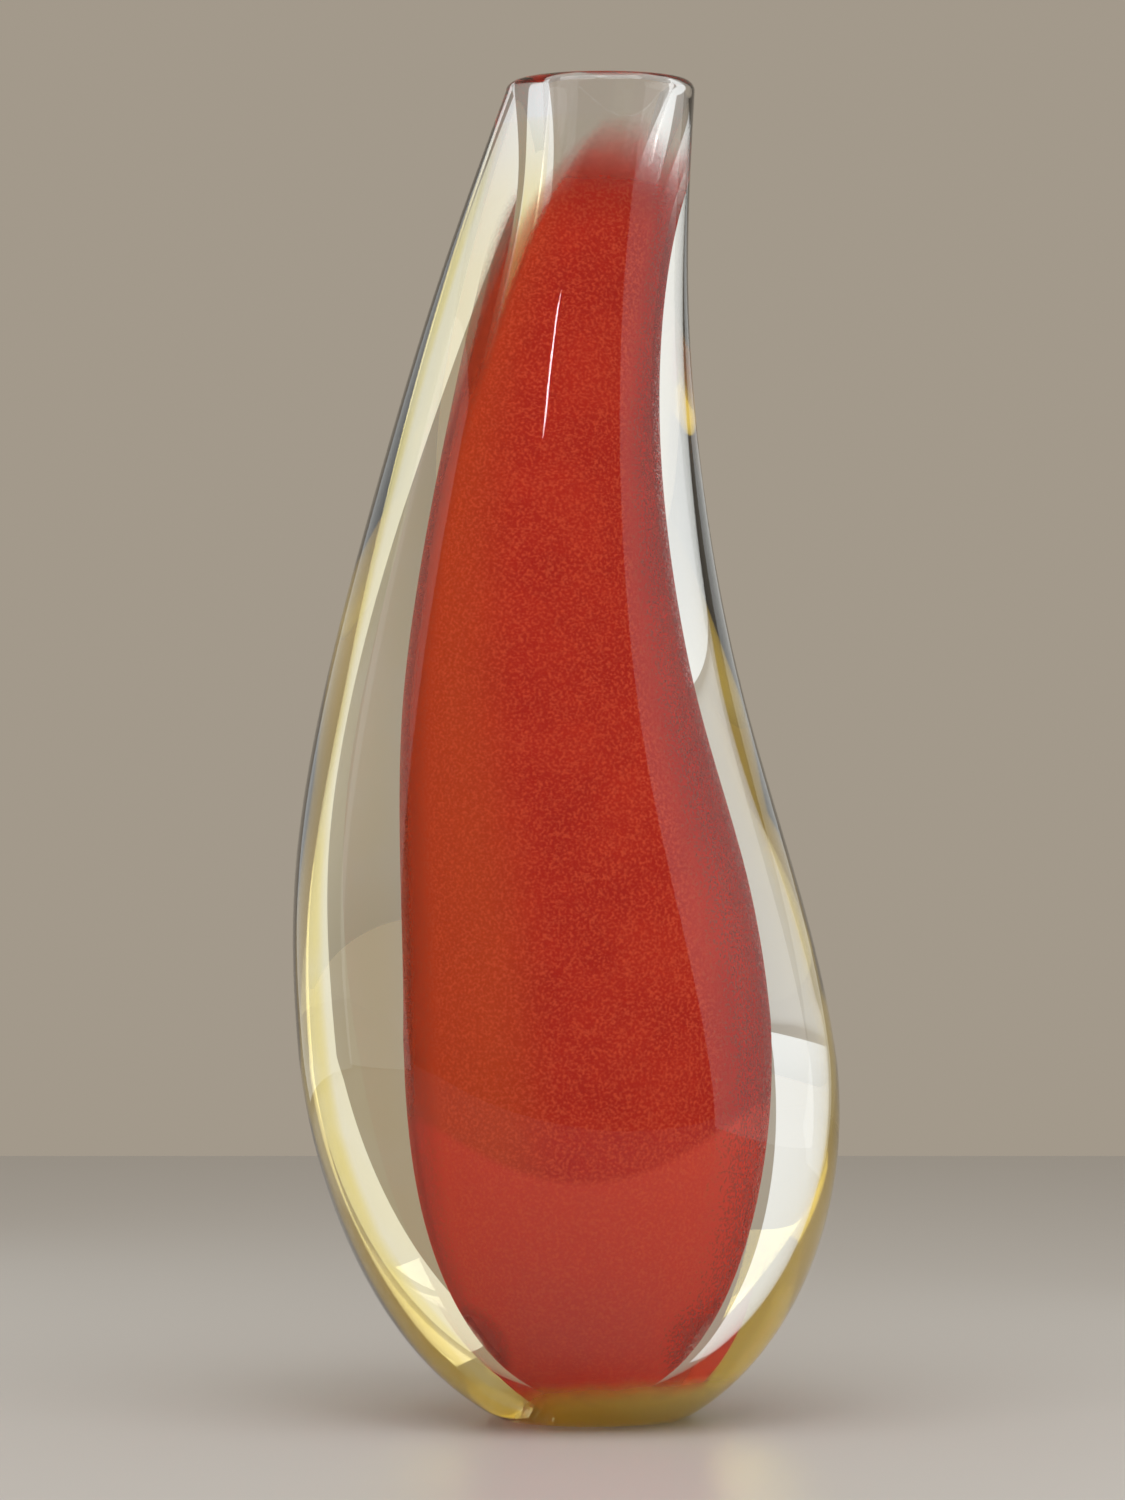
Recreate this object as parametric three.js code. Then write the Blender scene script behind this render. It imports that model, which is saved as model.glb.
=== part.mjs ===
// Hand blown cased glass vase: an asymmetric teardrop with a thick clear wall around a coral red core.
// Millimetres, +Z up. The origin is on the table, under the middle of the vase's width and depth.
//
// The glass is five layers, fused hot one over the other. From the outside to the hollow they are
// a clear casing that rolls over them all at the lip, a thin amber layer, a thick clear gather,
// the coral red layer, and the clear lining of the first bubble, whose inside is the vase's hollow.
import * as THREE from 'three';
import { mergeVertices } from 'three/addons/utils/BufferGeometryUtils.js';

// Driving dimensions.
const VASE_HEIGHT = 350;
const BELLY_HEIGHT = 94;        // the widest level of the outside
const BELLY_HALF_WIDTH = 70.4;
const DEPTH_RATIO = 0.96;       // depth of every level section divided by its width
const BASE_ROUNDING = 100.5;    // height of the ellipse that rounds the lower body; the flat base cuts it
const LIP_RISE = 3;             // the fire-polished lip is a low arch of this height
const LAYERS_TOP = 337;         // the inner layers stop here, and the casing rolls over them
const GAP = 0.3;                // clearance between one layer and the next
const CENTRING = 0.35;          // sets the middle of the whole width over the origin

// Glass thicknesses on the side walls.
const CASING_WALL = 3.2;
const CASING_WALL_AT_NECK = 2.2;
const AMBER_WALL = 1.2;
const RED_WALL = 1.5;
const LINING_WALL = 2;

// Heights of the layers' undersides above the table.
const AMBER_FLOOR = 3;
const AMBER_POOL_TOP = 11;      // amber lies thicker on the bottom than on the sides
const RED_FLOOR = 18;
const LINING_FLOOR = RED_FLOOR + RED_WALL + GAP;
const HOLLOW_FLOOR = 68;

// Mesh fineness: facets around, levels below the belly, levels above it, and steps over the lip.
const FACETS = 32;
const LEVELS_BELOW = 7;
const LEVELS_ABOVE = 11;
const LIP_STEPS = 4;

// A smooth curve through a few [height, value] stations.
function curve(...stations) {
  const heights = stations.map(([height]) => height);
  const values = stations.map(([, value]) => value);
  const interpolant = new THREE.CubicInterpolant(heights, values, 1);
  return (height) => interpolant.evaluate(height)[0];
}

// A form is one surface of the vase. Its level sections are nearly round: lean moves a section's centre
// sideways, halfWidth is its reach along X, and its reach along Y is DEPTH_RATIO of that. Below the belly
// both follow a rounded arc down to the form's lowest point.
const outside = {
  lowest: BELLY_HEIGHT - BASE_ROUNDING,
  belly: BELLY_HEIGHT,
  arcPower: 2,
  lean: curve([0, 6.3], [40, 4.6], [94, 0], [140, -5.7], [190, -9], [245, -7.1], [300, -0.7], [350, 9.2]),
  halfWidth: curve([60, 70], [94, BELLY_HALF_WIDTH], [136, 66.5], [188, 55.3], [240, 43.6], [293, 33.5],
    [350, 24.3]),
};

// The amber bubble lies lower and to the right, so the clear casing is thickest at the lower left.
const amberOutside = {
  lowest: AMBER_FLOOR,
  belly: BELLY_HEIGHT,
  arcPower: 1.8,
  lean: curve([0, 13], [16, 13.5], [32, 11.8], [47, 8], [70, 3.5], [94, 0.3], [140, -5.5], [190, -8.9],
    [245, -7], [300, -0.6], [337, 6.9]),
  halfWidth: (height) => {
    const neckward = THREE.MathUtils.smoothstep(height, BELLY_HEIGHT, LAYERS_TOP);
    return outside.halfWidth(height) - THREE.MathUtils.lerp(CASING_WALL, CASING_WALL_AT_NECK, neckward);
  },
};

// The first bubble lies nearer the vase's right side. The red powder coats it.
const redOutside = {
  lowest: RED_FLOOR,
  belly: 100,
  arcPower: 2.2,
  lean: curve([0, 7], [50, 5.3], [107, 2.8], [132, 0.1], [157, -3.2], [183, -5.8], [210, -6.5], [245, -5.2],
    [290, -0.2], [320, 5.2], [350, 10.6]),
  halfWidth: curve([100, 33.3], [132, 31.8], [157, 29.6], [183, 26.8], [210, 23.8], [245, 20.2], [290, 17],
    [320, 17], [337, 19.2], [350, 21.8]),
};

// The same form moved inwards by a thickness, with its lowest point at a given height.
function inset(form, thickness, lowest = form.lowest + thickness) {
  return {
    ...form,
    lowest,
    halfWidth: (height) => form.halfWidth(height) - thickness,
    thinned: (form.thinned ?? 0) + thickness,
  };
}

// One level section of a form, as a ring that the mesh passes through. The depth ratio holds for the
// form before it was thinned, so a wall is as thick along the depth as along the width.
function ring(form, height) {
  const drop = Math.max(0, (form.belly - height) / (form.belly - form.lowest));
  const arc = (1 - drop ** form.arcPower) ** (1 / form.arcPower);
  const halfWidth = form.halfWidth(Math.max(height, form.belly));
  const thinned = form.thinned ?? 0;
  return {
    height,
    lean: form.lean(height),
    halfWidth: halfWidth * arc,
    halfDepth: ((halfWidth + thinned) * DEPTH_RATIO - thinned) * arc,
  };
}

// The rings of a form from its lowest point, or from where the flat base cuts it, up to a top level.
function ringsOf(form, top) {
  const reach = form.belly - form.lowest;
  const start = Math.acos(Math.min(1, form.belly / reach));
  const rings = [];
  for (let level = 0; level < LEVELS_BELOW; level += 1) {
    const angle = THREE.MathUtils.lerp(start, Math.PI / 2, level / LEVELS_BELOW);
    rings.push(ring(form, form.belly - reach * Math.cos(angle)));
  }
  for (let level = 0; level <= LEVELS_ABOVE; level += 1) {
    rings.push(ring(form, THREE.MathUtils.lerp(form.belly, top, level / LEVELS_ABOVE)));
  }
  return rings;
}

// A point on the axis of a ring, which closes the surface there.
function pole(atRing) {
  return { ...atRing, halfWidth: 0, halfDepth: 0 };
}

// The rings over the lip, an arch between the top rings of the outside and of the hollow.
function lipArch(from, to) {
  const rings = [];
  for (let step = 1; step < LIP_STEPS; step += 1) {
    const angle = (Math.PI * step) / LIP_STEPS;
    const across = (1 - Math.cos(angle)) / 2;
    rings.push({
      height: THREE.MathUtils.lerp(from.height, to.height, across) + LIP_RISE * Math.sin(angle),
      lean: THREE.MathUtils.lerp(from.lean, to.lean, across),
      halfWidth: THREE.MathUtils.lerp(from.halfWidth, to.halfWidth, across),
      halfDepth: THREE.MathUtils.lerp(from.halfDepth, to.halfDepth, across),
    });
  }
  return rings;
}

// A closed solid through rings that start and end on the axis: a turned shape whose rings are then
// flattened a little and moved to their lean.
function solidThrough(rings) {
  const profile = rings.map(({ halfWidth, height }) => new THREE.Vector2(halfWidth, height));
  const turned = new THREE.LatheGeometry(profile, FACETS);
  const position = turned.getAttribute('position');
  for (let index = 0; index < position.count; index += 1) {
    const { lean, halfWidth, halfDepth, height } = rings[index % rings.length];
    const flatten = halfWidth > 0 ? halfDepth / halfWidth : 0;
    position.setXYZ(index, position.getX(index) + lean, -position.getZ(index) * flatten, height);
  }
  turned.deleteAttribute('normal');
  turned.deleteAttribute('uv');
  const solid = mergeVertices(turned);
  solid.computeVertexNormals();
  return solid;
}

// A cup of glass between an outer and an inner form, open at the top.
function layer(outer, inner, top) {
  const up = ringsOf(outer, top);
  const down = ringsOf(inner, top).reverse();
  return solidThrough([pole(up[0]), ...up.slice(1), ...down.slice(0, -1), pole(down.at(-1))]);
}

// The casing: flat ground base, outside wall, lip, the wall of the mouth, a step out over the ends of
// the inner layers, and then the inside face that the amber layer fills.
function casing() {
  const lipStart = VASE_HEIGHT - LIP_RISE;
  const up = ringsOf(outside, lipStart);
  const mouth = [ring(hollow, lipStart), ring(hollow, LAYERS_TOP + GAP)];
  const bed = ringsOf(inset(amberOutside, -GAP), LAYERS_TOP + GAP).reverse();
  return solidThrough([
    pole(up[0]),
    ...up,
    ...lipArch(up.at(-1), mouth[0]),
    ...mouth,
    ...bed.slice(0, -1),
    pole(bed.at(-1)),
  ]);
}

function glass(name, geometry, color, opacity) {
  const material = new THREE.MeshStandardMaterial({
    color,
    opacity,
    transparent: true,
    roughness: 0.03,
    metalness: 0,
  });
  const mesh = new THREE.Mesh(geometry, material);
  mesh.name = name;
  return mesh;
}

const hollow = inset(redOutside, RED_WALL + GAP + LINING_WALL, HOLLOW_FLOOR);
const amberInside = inset(amberOutside, AMBER_WALL, AMBER_POOL_TOP);
const gatherOutside = inset(amberInside, GAP);
const gatherInside = inset(redOutside, -GAP);
const redInside = inset(redOutside, RED_WALL);
const liningOutside = inset(redInside, GAP, LINING_FLOOR);

const vase = new THREE.Group();
vase.position.x = CENTRING;
vase.add(glass('clear_outer_casing', casing(), 0xf2f4ee, 0.2));
vase.add(glass('amber_layer', layer(amberOutside, amberInside, LAYERS_TOP), 0xe3c23c, 0.5));
vase.add(glass('clear_gather', layer(gatherOutside, gatherInside, LAYERS_TOP), 0xf4f4ea, 0.2));
vase.add(glass('coral_red_layer', layer(redOutside, redInside, LAYERS_TOP), 0xb52a1a, 0.95));
vase.add(glass('clear_lining', layer(liningOutside, hollow, LAYERS_TOP), 0xf4f4ea, 0.2));

export default vase;
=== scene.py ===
"""Looks of the hand blown cased glass vase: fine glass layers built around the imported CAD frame.

The clear glass is one closed body, because the fused layers have no surface between them. The amber and
the coral red lie inside it as fine layers of their own. The vase's forms are in millimetres. Materials,
lights and the camera are in metres.
"""

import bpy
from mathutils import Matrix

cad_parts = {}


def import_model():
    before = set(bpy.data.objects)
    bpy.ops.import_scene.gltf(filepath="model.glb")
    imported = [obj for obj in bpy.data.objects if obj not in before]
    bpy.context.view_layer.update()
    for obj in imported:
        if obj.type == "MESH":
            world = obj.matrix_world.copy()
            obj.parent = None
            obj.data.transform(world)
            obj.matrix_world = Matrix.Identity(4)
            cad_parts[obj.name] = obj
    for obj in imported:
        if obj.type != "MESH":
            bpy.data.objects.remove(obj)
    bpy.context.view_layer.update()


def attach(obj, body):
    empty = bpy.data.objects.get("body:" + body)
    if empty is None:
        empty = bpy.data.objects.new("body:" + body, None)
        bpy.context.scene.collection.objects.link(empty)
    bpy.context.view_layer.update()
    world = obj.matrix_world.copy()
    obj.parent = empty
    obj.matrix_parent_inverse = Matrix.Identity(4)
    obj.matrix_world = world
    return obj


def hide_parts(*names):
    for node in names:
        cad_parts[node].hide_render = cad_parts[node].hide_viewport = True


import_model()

import math

import bpy
import numpy as np
from mathutils import Quaternion, Vector

MM = 0.001
SCENE = bpy.context.scene

# ---------------------------------------------------------------- the vase's forms, as in the CAD model

VASE_HEIGHT = 350.0
BELLY_HEIGHT = 94.0       # the widest level of the outside
BELLY_HALF_WIDTH = 70.4
DEPTH_RATIO = 0.96        # depth of every level section divided by its width
BASE_ROUNDING = 100.5     # height of the ellipse that rounds the lower body; the flat base cuts it
BASE_EASE = 0.8           # the edge of the flat base is eased over this much
BASE_EDGE_RISE = 0.05     # height of the one ring within that eased edge
LIP_RISE = 3.0            # the fire-polished lip is a low arch of this height
LAYERS_TOP = 337.0        # the amber and the red stop here
GAP = 0.3                 # clearance between one CAD layer and the next
CENTRING = 0.35           # sets the middle of the whole width over the origin

# Glass thicknesses on the side walls.
CASING_WALL = 3.2
CASING_WALL_AT_NECK = 2.2
AMBER_WALL = 1.2
RED_WALL = 1.5
LINING_WALL = 2.0

# Undersides of the layers, and the floor of the hollow.
AMBER_FLOOR = 3.0
RED_FLOOR = 18.0
HOLLOW_FLOOR = 68.0

# The amber lies thicker on the bottom, up to AMBER_POOL_TOP. The pool is a piece of its own within that.
AMBER_POOL_TOP = 11.0
POOL_MARGIN = 0.4
POOL_WALL = 0.4
POOL_FLOOR = 3.5
POOL_TOP = 9.0
POOL_RIM = 26.0           # the pool's thin rim reaches this high up the side walls

# Fineness of the meshes.
AROUND = 144              # points round a ring
BELOW = 60                # rings of a form below its belly
ABOVE = 130               # rings above it
LIP_STEPS = 14


def curve(*stations):
    """A smooth curve through (height, value) stations: a natural cubic spline."""
    xs, ys = np.array(stations, dtype=float).T
    gaps = np.diff(xs)
    slopes = np.diff(ys) / gaps
    matrix = np.eye(len(xs))
    right = np.zeros(len(xs))
    for i in range(1, len(xs) - 1):
        matrix[i, i - 1:i + 2] = gaps[i - 1], 2 * (gaps[i - 1] + gaps[i]), gaps[i]
        right[i] = 6 * (slopes[i] - slopes[i - 1])
    bend = np.linalg.solve(matrix, right)

    def value(height):
        i = int(np.clip(np.searchsorted(xs, height) - 1, 0, len(gaps) - 1))
        gap = gaps[i]
        past = height - xs[i]
        left = xs[i + 1] - height
        cubic = (bend[i] * left ** 3 + bend[i + 1] * past ** 3) / (6 * gap)
        start = (ys[i] / gap - bend[i] * gap / 6) * left
        finish = (ys[i + 1] / gap - bend[i + 1] * gap / 6) * past
        return cubic + (start + finish)

    return value


class Form:
    """One surface of the vase. Its level sections are nearly round. Below the belly it rounds off."""

    def __init__(self, lowest, belly, arc_power, lean, half_width, thinned=0.0):
        self.lowest = lowest
        self.belly = belly
        self.arc_power = arc_power
        self.lean = lean
        self.half_width = half_width
        self.thinned = thinned

    def inset(self, thickness, lowest):
        """The same form moved inwards by a thickness, with its lowest point at a given height."""
        def half_width(height):
            return self.half_width(height) - thickness

        return Form(lowest, self.belly, self.arc_power, self.lean, half_width, self.thinned + thickness)

    def ring(self, height):
        """(height, lean, half width, half depth) of one level section."""
        drop = max(0.0, (self.belly - height) / (self.belly - self.lowest))
        arc = (1 - min(1.0, drop) ** self.arc_power) ** (1 / self.arc_power)
        wide = self.half_width(max(height, self.belly))
        deep = (wide + self.thinned) * DEPTH_RATIO - self.thinned
        return height, self.lean(height), wide * arc, deep * arc

    def rings(self, top):
        """Rings from the lowest point, or from where the flat base cuts the form, up to a level."""
        reach = self.belly - self.lowest
        start = math.acos(min(1.0, self.belly / reach))
        angles = [start + (math.pi / 2 - start) * i / BELOW for i in range(BELOW)]
        heights = [self.belly - reach * math.cos(angle) for angle in angles]
        heights += [self.belly + (top - self.belly) * i / ABOVE for i in range(ABOVE + 1)]
        return [self.ring(height) for height in heights]


outside = Form(
    BELLY_HEIGHT - BASE_ROUNDING, BELLY_HEIGHT, 2.0,
    lean=curve((0, 6.3), (40, 4.6), (94, 0), (140, -5.7), (190, -9), (245, -7.1), (300, -0.7),
               (350, 9.2)),
    half_width=curve((60, 70), (94, BELLY_HALF_WIDTH), (136, 66.5), (188, 55.3), (240, 43.6),
                     (293, 33.5), (350, 24.3)),
)


def amber_half_width(height):
    """The outside's half width less the casing, which thins from the belly to the neck."""
    t = min(1.0, max(0.0, (height - BELLY_HEIGHT) / (LAYERS_TOP - BELLY_HEIGHT)))
    neckward = t * t * (3 - 2 * t)
    return outside.half_width(height) - CASING_WALL - (CASING_WALL_AT_NECK - CASING_WALL) * neckward


amber_outside = Form(
    AMBER_FLOOR, BELLY_HEIGHT, 1.8,
    lean=curve((0, 13), (16, 13.5), (32, 11.8), (47, 8), (70, 3.5), (94, 0.3), (140, -5.5), (190, -8.9),
               (245, -7), (300, -0.6), (337, 6.9)),
    half_width=amber_half_width,
)

red_outside = Form(
    RED_FLOOR, 100.0, 2.2,
    lean=curve((0, 7), (50, 5.3), (107, 2.8), (132, 0.1), (157, -3.2), (183, -5.8), (210, -6.5),
               (245, -5.2), (290, -0.2), (320, 5.2), (350, 10.6)),
    half_width=curve((100, 33.3), (132, 31.8), (157, 29.6), (183, 26.8), (210, 23.8), (245, 20.2),
                     (290, 17), (320, 17), (337, 19.2), (350, 21.8)),
)

hollow = red_outside.inset(RED_WALL + GAP + LINING_WALL, HOLLOW_FLOOR)

# The powder is dense only in a flame within its layer, given by its middle and its reach to either side.
flame_middle = curve((0, 7), (50, 5.3), (107, 2.8), (132, 0.1), (157, -3.2), (183, -5.8), (210, -6.5),
                     (245, -5.2), (290, 2), (316, 8.5), (337, 16))
flame_reach = curve((0, 16), (21, 16), (30, 22), (41, 26.5), (63, 31.5), (107, 33.3), (157, 29.6),
                    (210, 23.8), (245, 20.2), (290, 15.3), (316, 12.5), (337, 6))

# ---------------------------------------------------------------------------------------- mesh building


def solid_through(name, rings):
    """A closed mesh through rings of (height, lean, half width, half depth). Its ends close on the axis."""
    first, *body, last = rings
    points = [((first[1] + CENTRING) * MM, 0.0, first[0] * MM)]
    for height, lean, wide, deep in body:
        for step in range(AROUND):
            angle = 2 * math.pi * step / AROUND
            x = lean + CENTRING + wide * math.sin(angle)
            points.append((x * MM, -deep * math.cos(angle) * MM, height * MM))
    points.append(((last[1] + CENTRING) * MM, 0.0, last[0] * MM))
    end = len(points) - 1
    faces = []
    for step in range(AROUND):
        following = (step + 1) % AROUND
        faces.append((0, 1 + following, 1 + step))
        for level in range(len(body) - 1):
            low = 1 + level * AROUND
            high = low + AROUND
            faces.append((low + step, low + following, high + following, high + step))
        top = 1 + (len(body) - 1) * AROUND
        faces.append((top + step, top + following, end))
    mesh = bpy.data.meshes.new(name)
    mesh.from_pydata(points, [], faces)
    mesh.validate()
    mesh.shade_smooth()
    piece = bpy.data.objects.new(name, mesh)
    SCENE.collection.objects.link(piece)
    return piece


def lip_arch(start, finish):
    """Rings over the fire-polished lip, an arch between two top rings."""
    rings = []
    for step in range(1, LIP_STEPS):
        angle = math.pi * step / LIP_STEPS
        across = (1 - math.cos(angle)) / 2
        height, *section = [a + (b - a) * across for a, b in zip(start, finish)]
        rings.append((height + LIP_RISE * math.sin(angle), *section))
    return rings


def clear_body():
    """Outside, lip and hollow of the vase as one closed glass surface."""
    top = VASE_HEIGHT - LIP_RISE
    up = outside.rings(top)
    down = hollow.rings(top)[::-1]
    _, lean, wide, deep = up[0]
    foot = [
        (0.0, lean, 0.0, 0.0),
        (0.0, lean, wide - BASE_EASE, deep - BASE_EASE),
        (BASE_EDGE_RISE, lean, wide - BASE_EASE / 3, deep - BASE_EASE / 3),
    ]
    wall = [ring for ring in up if ring[0] > BASE_EASE]
    return solid_through("crystal_body", [*foot, *wall, *lip_arch(up[-1], down[0]), *down])


def cup(name, outer, inner, top):
    """A layer of glass between two forms, open at the top."""
    return solid_through(name, [*outer.rings(top), *inner.rings(top)[::-1]])


# ------------------------------------------------------------------------------------------- materials

CURVE_STEPS = 16          # stretches of a curve over the height, in a material

# Sockets of Blender's Mix node when it mixes colours.
MIX_FACTOR = 0
MIX_FIRST = 6
MIX_SECOND = 7
MIX_RESULT = 2


class Nodes:
    """Short hands for building one material's node tree."""

    def __init__(self, name):
        self.material = bpy.data.materials.new(name)
        self.material.use_nodes = True
        self.tree = self.material.node_tree
        self.tree.nodes.clear()
        self.output = self.add("ShaderNodeOutputMaterial")

    def add(self, kind, **settings):
        node = self.tree.nodes.new(kind)
        for key, value in settings.items():
            setattr(node, key, value)
        return node

    def link(self, source, target):
        self.tree.links.new(source, target)

    def position(self):
        """The point on the object in metres, before any pose."""
        return self.add("ShaderNodeTexCoord").outputs["Object"]

    def coordinates(self, vector):
        """The x, y and z of a vector."""
        node = self.add("ShaderNodeSeparateXYZ")
        self.link(vector, node.inputs[0])
        return node.outputs

    def noise(self, vector, scale, detail=2.0, roughness=0.5):
        node = self.add("ShaderNodeTexNoise")
        self.link(vector, node.inputs["Vector"])
        node.inputs["Scale"].default_value = scale
        node.inputs["Detail"].default_value = detail
        node.inputs["Roughness"].default_value = roughness
        return node.outputs["Fac"]

    def map_range(self, value, low, high, to_low=0.0, to_high=1.0, smooth=True):
        node = self.add("ShaderNodeMapRange", interpolation_type="SMOOTHSTEP" if smooth else "LINEAR")
        self.link(value, node.inputs["Value"])
        for key, number in (("From Min", low), ("From Max", high), ("To Min", to_low), ("To Max", to_high)):
            node.inputs[key].default_value = number
        return node.outputs["Result"]

    def curve_of(self, height, form):
        """A curve in millimetres over the height, from the table to the layers' top. It gives metres."""
        samples = [form(LAYERS_TOP * i / CURVE_STEPS) for i in range(CURVE_STEPS + 1)]
        least = min(samples) - 1
        most = max(samples) + 1
        node = self.add("ShaderNodeFloatCurve")
        points = node.mapping.curves[0].points
        for i, sample in enumerate(samples):
            spot = (i / CURVE_STEPS, (sample - least) / (most - least))
            if i == 0:
                points[0].location = spot
            elif i == CURVE_STEPS:
                points[len(points) - 1].location = spot
            else:
                points.new(*spot)
        node.mapping.update()
        self.link(self.map_range(height, 0.0, LAYERS_TOP * MM, smooth=False), node.inputs["Value"])
        return self.map_range(node.outputs["Value"], 0.0, 1.0, least * MM, most * MM, smooth=False)

    def math(self, operation, first, second=None, third=None):
        node = self.add("ShaderNodeMath", operation=operation)
        for socket, value in zip(node.inputs, (first, second, third)):
            if value is None:
                continue
            if isinstance(value, (int, float)):
                socket.default_value = value
            else:
                self.link(value, socket)
        return node.outputs["Value"]

    def shifted(self, value, noise, amount):
        """A value moved by a noise, so that what depends on it gets an uneven edge."""
        return self.math("MULTIPLY_ADD", noise, amount, value)

    def mix_color(self, factor, first, second):
        node = self.add("ShaderNodeMix", data_type="RGBA")
        self.link(factor, node.inputs[MIX_FACTOR])
        for socket, value in ((node.inputs[MIX_FIRST], first), (node.inputs[MIX_SECOND], second)):
            if isinstance(value, tuple):
                socket.default_value = (*value, 1.0)
            else:
                self.link(value, socket)
        return node.outputs[MIX_RESULT]

    def matt(self, colour, alpha, roughness):
        """Make the material a matt surface, see-through where its alpha is below 1."""
        surface = self.add("ShaderNodeBsdfPrincipled")
        surface.inputs["Roughness"].default_value = roughness
        surface.inputs["Specular IOR Level"].default_value = 0.0
        self.link(colour, surface.inputs["Base Color"])
        self.link(alpha, surface.inputs["Alpha"])
        self.link(surface.outputs[0], self.output.inputs["Surface"])


def crystal():
    """Clear glass: no tint, and the faint ripple that hand work leaves in the surface."""
    n = Nodes("crystal")
    glass = n.add("ShaderNodeBsdfPrincipled")
    glass.inputs["Base Color"].default_value = (1.0, 1.0, 1.0, 1.0)
    glass.inputs["Roughness"].default_value = 0.0
    glass.inputs["IOR"].default_value = 1.5
    glass.inputs["Transmission Weight"].default_value = 1.0
    ripple = n.noise(n.position(), 22.0, detail=1.0)
    bump = n.add("ShaderNodeBump")
    bump.inputs["Strength"].default_value = 0.05
    bump.inputs["Distance"].default_value = 0.001
    n.link(ripple, bump.inputs["Height"])
    n.link(bump.outputs["Normal"], glass.inputs["Normal"])
    n.link(glass.outputs[0], n.output.inputs["Surface"])
    return n.material


def amber():
    """Amber glass. It meets clear glass, so it bends no light and only stains what goes through.

    The stain covers the left flank and is strongest along its edge. The pool is a piece of its own.
    """
    n = Nodes("amber")
    where = n.position()
    x, y, z = n.coordinates(where)
    leftward = n.math("SUBTRACT", n.curve_of(z, outside.lean), x)
    # In radians, 0 along the front and the back and a quarter turn along the left edge.
    azimuth = n.math("ARCTAN2", leftward, n.math("ABSOLUTE", y))
    faint = n.map_range(azimuth, 0.35, 0.80, 0.0, 0.45)
    strong = n.map_range(azimuth, 1.02, 1.18)
    below_neck = n.map_range(z, 0.345, 0.300)
    flank = n.math("MULTIPLY", n.math("MAXIMUM", faint, strong), below_neck)
    cloud = n.noise(where, 60.0, detail=2.0)
    dense = n.math("MULTIPLY", flank, n.map_range(cloud, 0.2, 0.6, 0.8, 1.0))
    colour = n.mix_color(dense, (1.0, 1.0, 0.995), (0.975, 0.84, 0.34))
    glass = n.add("ShaderNodeBsdfPrincipled")
    glass.inputs["Roughness"].default_value = 0.0
    glass.inputs["IOR"].default_value = 1.0
    glass.inputs["Transmission Weight"].default_value = 1.0
    n.link(colour, glass.inputs["Base Color"])
    stain = n.add("ShaderNodeVolumeAbsorption")
    stain.inputs["Color"].default_value = (0.97, 0.85, 0.16, 1.0)
    stain.inputs["Density"].default_value = 6.0
    n.link(glass.outputs[0], n.output.inputs["Surface"])
    n.link(stain.outputs[0], n.output.inputs["Volume"])
    return n.material


def amber_pool():
    """The thick amber in the bottom, on the right. It is dense enough to hide what is behind it."""
    n = Nodes("amber_pool")
    where = n.position()
    cloud = n.noise(where, 70.0, detail=2.0)
    x, _, z = n.coordinates(where)
    paler = n.map_range(n.shifted(x, cloud, 0.02), 0.0, 0.055)
    colour = n.mix_color(paler, (1.0, 0.64, 0.04), (1.0, 0.80, 0.22))
    low = n.map_range(n.shifted(z, cloud, 0.004), 0.019, 0.012)
    right = n.map_range(n.shifted(x, cloud, 0.01), -0.012, 0.006)
    n.matt(colour, alpha=n.math("MULTIPLY", low, right), roughness=0.5)
    return n.material


def coral():
    """Coral red powder colour: a flame, dense in the middle and grainy where it thins out at its edges."""
    n = Nodes("coral")
    where = n.position()
    grain = n.noise(where, 1400.0, detail=3.0, roughness=0.7)
    cloud = n.noise(where, 45.0, detail=3.0)
    x, _, z = n.coordinates(where)
    aside = n.math("SUBTRACT", x, n.curve_of(z, flame_middle))
    reach = n.curve_of(z, flame_reach)

    # Deep red in clouds, more orange on the left and paler below the bowl, both painted light, and lighter
    # in its single grains.
    colour = n.mix_color(n.map_range(cloud, 0.35, 0.65), (0.58, 0.012, 0.004), (0.66, 0.022, 0.007))
    # Painted light: the left side of the flame is painted more orange, standing in for the side light on
    # it.
    colour = n.mix_color(n.map_range(aside, -0.004, -0.020), colour, (0.68, 0.06, 0.010))
    # Painted light: the red is painted paler below the arc of the hollow's floor.
    bowl_floor = 0.0665
    bowl_steepness = 15.0
    bowl = n.math("MULTIPLY_ADD", n.math("MULTIPLY", aside, aside), bowl_steepness, bowl_floor)
    above_bowl = n.math("SUBTRACT", z, bowl)
    colour = n.mix_color(n.map_range(above_bowl, 0.0015, -0.0015), colour, (0.82, 0.060, 0.030))
    colour = n.mix_color(n.map_range(grain, 0.45, 0.65, 0.0, 0.6), colour, (0.92, 0.13, 0.045))

    # Outward is 0 along the flame's middle and 1 at its sides, where the powder is half as dense.
    coarse = n.map_range(aside, -0.010, 0.020, 0.2, 0.9)
    speckle = n.math("MULTIPLY", n.math("SUBTRACT", grain, 0.5), coarse)
    outward = n.math("ADD", n.math("DIVIDE", n.math("ABSOLUTE", aside), reach), speckle)
    thin = n.map_range(outward, 1.0, 0.86, 0.5, 1.0)
    within = n.map_range(outward, 1.30, 1.02)
    below_lip = n.map_range(n.shifted(z, grain, 0.010), 0.345, 0.312)
    alpha = n.math("MULTIPLY", n.math("MULTIPLY", thin, within), below_lip)
    n.matt(colour, alpha, roughness=0.6)
    return n.material


def floor_material():
    n = Nodes("pale_floor")
    matt = n.add("ShaderNodeBsdfPrincipled")
    matt.inputs["Base Color"].default_value = (0.48, 0.47, 0.455, 1.0)
    matt.inputs["Roughness"].default_value = 0.35
    n.link(matt.outputs[0], n.output.inputs["Surface"])
    return n.material


# ---------------------------------------------------------------------------------------------- pieces


def place(piece, material, slot_name, *nodes):
    """Give a piece its material, and tell the frame what it rides and what it replaces. The slot name is
    not used.
    """
    piece.data.materials.append(material)
    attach(piece, "root")
    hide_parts(*nodes)


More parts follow.
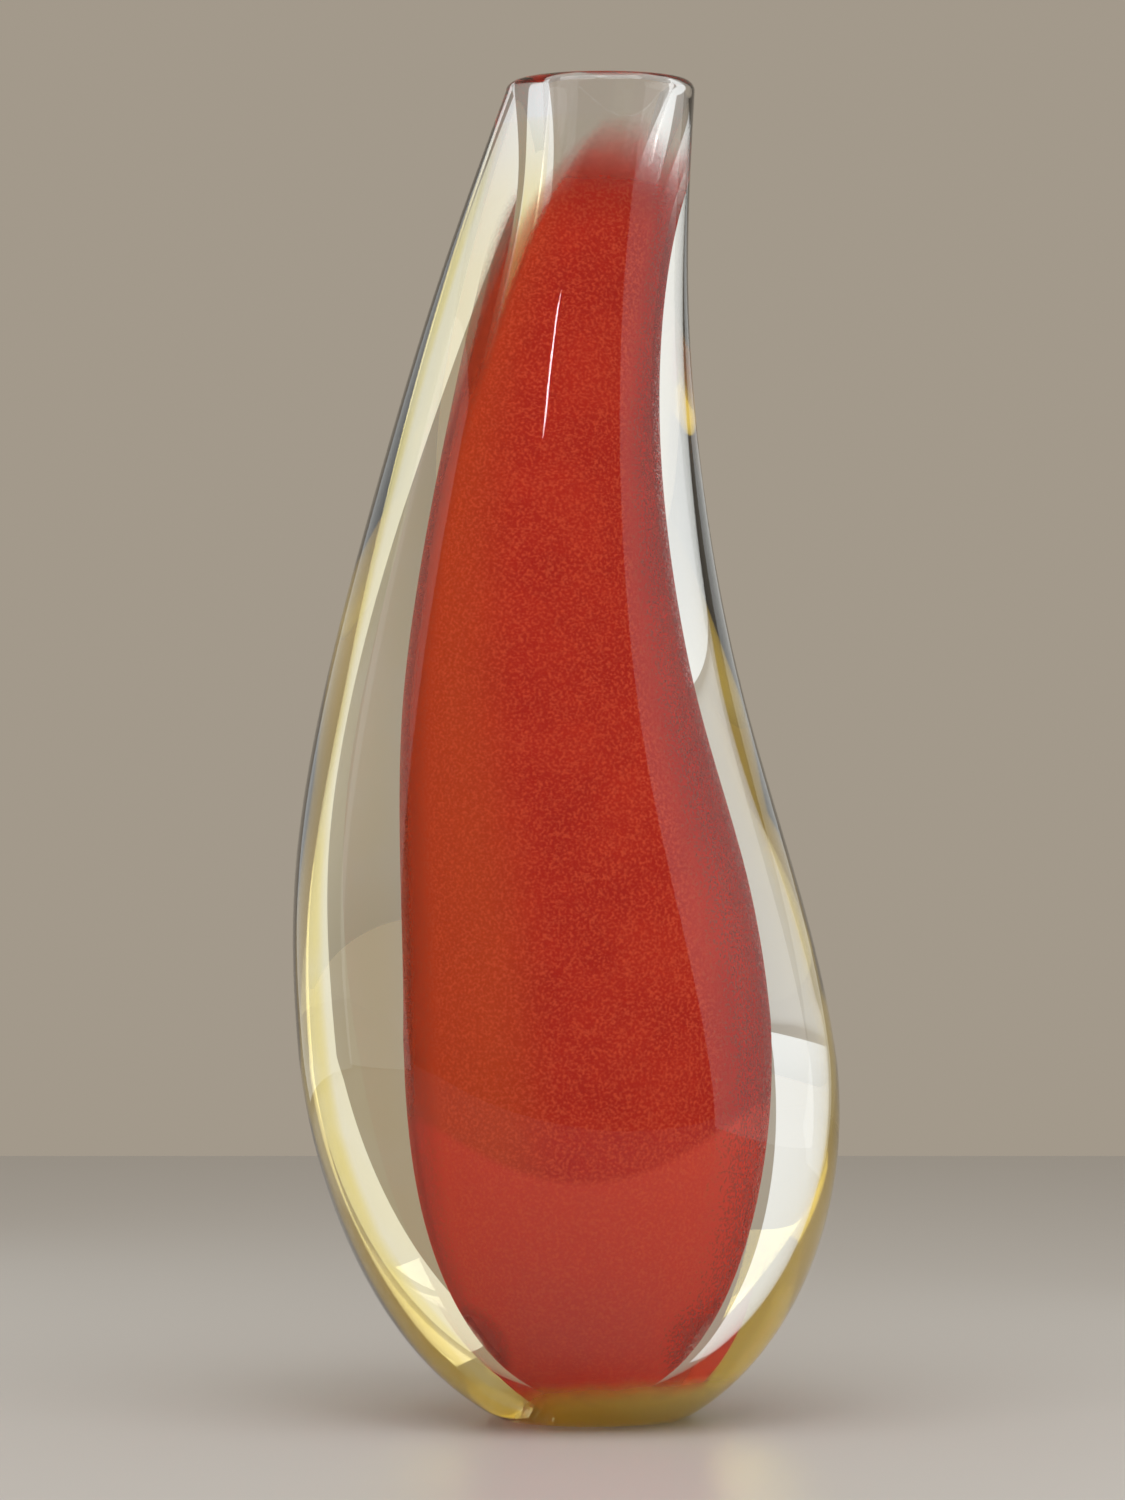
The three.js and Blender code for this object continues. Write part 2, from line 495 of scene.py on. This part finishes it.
place(clear_body(), crystal(), "clear_crystal", "clear_outer_casing", "clear_gather", "clear_lining")

amber_inside = amber_outside.inset(AMBER_WALL, AMBER_POOL_TOP)
amber_cup = cup("amber_glass_layer", amber_outside, amber_inside, LAYERS_TOP)
place(amber_cup, amber(), "amber_glass", "amber_layer")

pool_outside = amber_outside.inset(POOL_MARGIN, POOL_FLOOR)
pool_inside = amber_outside.inset(POOL_MARGIN + POOL_WALL, POOL_TOP)
pool_cup = cup("amber_pool", pool_outside, pool_inside, POOL_RIM)
place(pool_cup, amber_pool(), "amber_glass", "amber_layer")

red_inside = red_outside.inset(RED_WALL, RED_FLOOR + RED_WALL)
red_cup = cup("coral_powder_layer", red_outside, red_inside, LAYERS_TOP)
place(red_cup, coral(), "coral_glass", "coral_red_layer")

# ------------------------------------------------------------------------------- floor, light and camera


def floor():
    """A plain floor just under the base. Past its far edge the plain background begins."""
    side = 1.6
    near = -0.38
    far = 0.95
    mesh = bpy.data.meshes.new("floor")
    corners = [(-side, near, 0), (side, near, 0), (side, far, 0), (-side, far, 0)]
    mesh.from_pydata(corners, [], [(0, 1, 2, 3)])
    plane = bpy.data.objects.new("floor", mesh)
    plane.location.z = -0.0003
    SCENE.collection.objects.link(plane)
    mesh.materials.append(floor_material())


def softbox(name, azimuth, distance, middle, width, height, radiance, turn=0.0, color=(1.0, 1.0, 1.0)):
    """A soft light that faces the vase's middle. Azimuth 0 is behind the vase, and 90 on its right.

    The light's own middle is at the height called middle. The turn is about the way that it faces.
    """
    data = bpy.data.lights.new(name, "AREA")
    data.shape = "RECTANGLE"
    data.size = width
    data.size_y = height
    data.energy = radiance * math.pi * width * height
    data.color = color
    light = bpy.data.objects.new(name, data)
    around = math.radians(azimuth)
    light.location = (distance * math.sin(around), distance * math.cos(around), middle)
    away = (light.location - Vector((0.0, 0.0, VASE_HEIGHT / 2 * MM))).normalized()
    light.rotation_mode = "QUATERNION"
    light.rotation_quaternion = Quaternion(away, math.radians(turn)) @ away.to_track_quat("Z", "Y")
    light.visible_camera = False
    SCENE.collection.objects.link(light)


def lights():
    """Soft panels. The glass bends light so far that each flank shows a panel of the vase's other side."""
    softbox("back_left", azimuth=-57, distance=0.50, middle=0.25, width=0.51, height=0.49,
            radiance=0.58, color=(0.85, 0.94, 1.0))
    softbox("left_side", azimuth=-98, distance=0.60, middle=0.27, width=0.40, height=0.54, radiance=0.8)
    softbox("right_slant", azimuth=45, distance=0.40, middle=0.16, width=0.15, height=0.46,
            radiance=0.55, turn=-42, color=(0.90, 0.97, 1.0))
    softbox("right_side", azimuth=92, distance=0.48, middle=0.22, width=0.58, height=0.50, radiance=0.85)
    softbox("front_top_left", azimuth=-150, distance=0.7, middle=1.3, width=0.9, height=0.9, radiance=3.3)
    softbox("front_top_right", azimuth=150, distance=0.7, middle=1.3, width=0.9, height=0.9, radiance=3.3)
    # The thin highlight on the front is the reflection of this one.
    softbox("streak", azimuth=180, distance=1.3, middle=0.845, width=0.03, height=0.008, radiance=20.0)


def world():
    """A plain grey-brown background."""
    w = bpy.data.worlds.new("studio")
    SCENE.world = w
    w.use_nodes = True
    background = w.node_tree.nodes["Background"]
    background.inputs["Color"].default_value = (0.366, 0.319, 0.258, 1.0)
    background.inputs["Strength"].default_value = 1.0


def camera():
    data = bpy.data.cameras.new("camera")
    data.sensor_width = 36.0
    data.lens = 132.0
    eye = bpy.data.objects.new("camera", data)
    eye.location = (-0.001, -1.441, 0.172)
    eye.rotation_euler = (math.radians(90.1), 0.0, 0.0)
    SCENE.collection.objects.link(eye)
    SCENE.camera = eye


SCENE.view_settings.view_transform = "Standard"
SCENE.cycles.max_bounces = 32
SCENE.cycles.transmission_bounces = 32
SCENE.cycles.transparent_max_bounces = 32
floor()
world()
lights()
camera()
